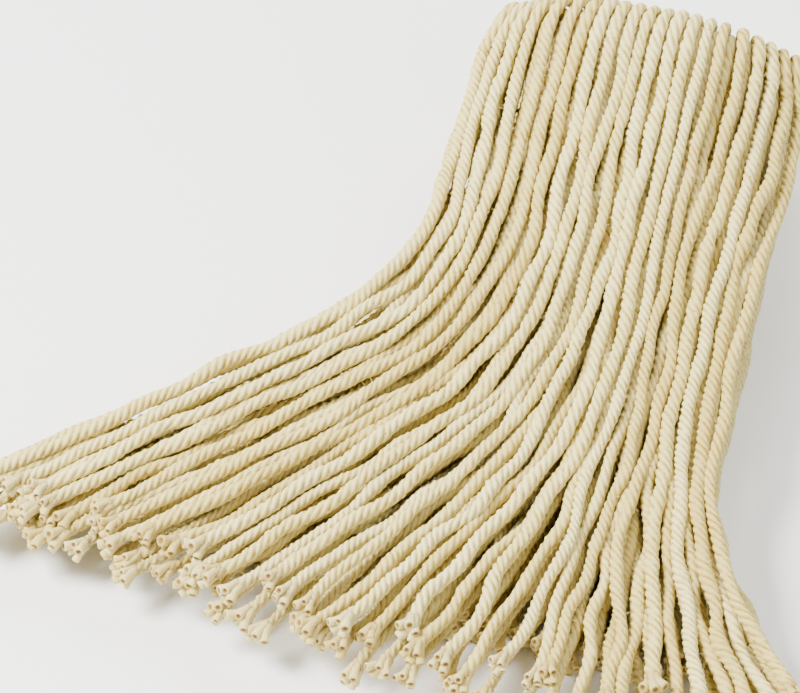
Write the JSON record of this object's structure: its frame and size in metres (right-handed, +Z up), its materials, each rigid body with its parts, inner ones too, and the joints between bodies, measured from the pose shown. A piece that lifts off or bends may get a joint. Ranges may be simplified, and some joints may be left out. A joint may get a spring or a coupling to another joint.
{
  "type": "string mop head",
  "caption": "Cut-end cotton mop head folded at its sewn tape: upper yarns arch over a crest and fan out on the lower yarns.",
  "frame": {"origin": "bottom centre of the whole head's box, on the surface it lies on", "axes": "+X along the head tape, +Y from the cut ends towards the tape, +Z up"},
  "size_m": [0.3694, 0.3788, 0.0911],
  "materials": {
    "cotton_yarn": "natural twisted cotton yarn, matt and fuzzy",
    "cotton_tape": "natural woven cotton webbing tape",
    "sewing_thread": "white twisted polyester sewing thread"
  },
  "bodies": {
    "head": {"outer_tape": "cotton_tape", "inner_tape": "cotton_tape", "needle_thread_row1": "sewing_thread", "needle_thread_row2": "sewing_thread", "needle_thread_row3": "sewing_thread", "bobbin_thread_row1": "sewing_thread", "bobbin_thread_row2": "sewing_thread", "bobbin_thread_row3": "sewing_thread", "bound_yarns_layer1": "cotton_yarn", "bound_yarns_layer2": "cotton_yarn", "bound_yarns_layer3": "cotton_yarn", "bound_yarns_layer4": "cotton_yarn", "lower_yarns_layer1_group1": "cotton_yarn", "lower_yarns_layer1_group2": "cotton_yarn", "lower_yarns_layer1_group3": "cotton_yarn", "lower_yarns_layer1_group4": "cotton_yarn", "lower_yarns_layer1_group5": "cotton_yarn", "lower_yarns_layer2_group1": "cotton_yarn", "lower_yarns_layer2_group2": "cotton_yarn", "lower_yarns_layer2_group3": "cotton_yarn", "lower_yarns_layer2_group4": "cotton_yarn", "lower_yarns_layer2_group5": "cotton_yarn", "lower_yarns_layer3_group1": "cotton_yarn", "lower_yarns_layer3_group2": "cotton_yarn", "lower_yarns_layer3_group3": "cotton_yarn", "lower_yarns_layer3_group4": "cotton_yarn", "lower_yarns_layer3_group5": "cotton_yarn", "lower_yarns_layer4_group1": "cotton_yarn", "lower_yarns_layer4_group2": "cotton_yarn", "lower_yarns_layer4_group3": "cotton_yarn", "lower_yarns_layer4_group4": "cotton_yarn", "lower_yarns_layer4_group5": "cotton_yarn"},
    "upper_fringe": {"upper_yarns_layer1_group1": "cotton_yarn", "upper_yarns_layer1_group2": "cotton_yarn", "upper_yarns_layer1_group3": "cotton_yarn", "upper_yarns_layer1_group4": "cotton_yarn", "upper_yarns_layer1_group5": "cotton_yarn", "upper_yarns_layer2_group1": "cotton_yarn", "upper_yarns_layer2_group2": "cotton_yarn", "upper_yarns_layer2_group3": "cotton_yarn", "upper_yarns_layer2_group4": "cotton_yarn", "upper_yarns_layer2_group5": "cotton_yarn", "upper_yarns_layer3_group1": "cotton_yarn", "upper_yarns_layer3_group2": "cotton_yarn", "upper_yarns_layer3_group3": "cotton_yarn", "upper_yarns_layer3_group4": "cotton_yarn", "upper_yarns_layer3_group5": "cotton_yarn", "upper_yarns_layer4_group1": "cotton_yarn", "upper_yarns_layer4_group2": "cotton_yarn", "upper_yarns_layer4_group3": "cotton_yarn", "upper_yarns_layer4_group4": "cotton_yarn", "upper_yarns_layer4_group5": "cotton_yarn"}
  },
  "joints": [
    {"name": "upper_fringe_fold", "type": "hinge", "parent": "head", "child": "upper_fringe", "pos_m": [0.02994, 0.18943, 0.05163], "axis": [-1, 0, 0], "range_deg": [0, 90]}
  ]
}
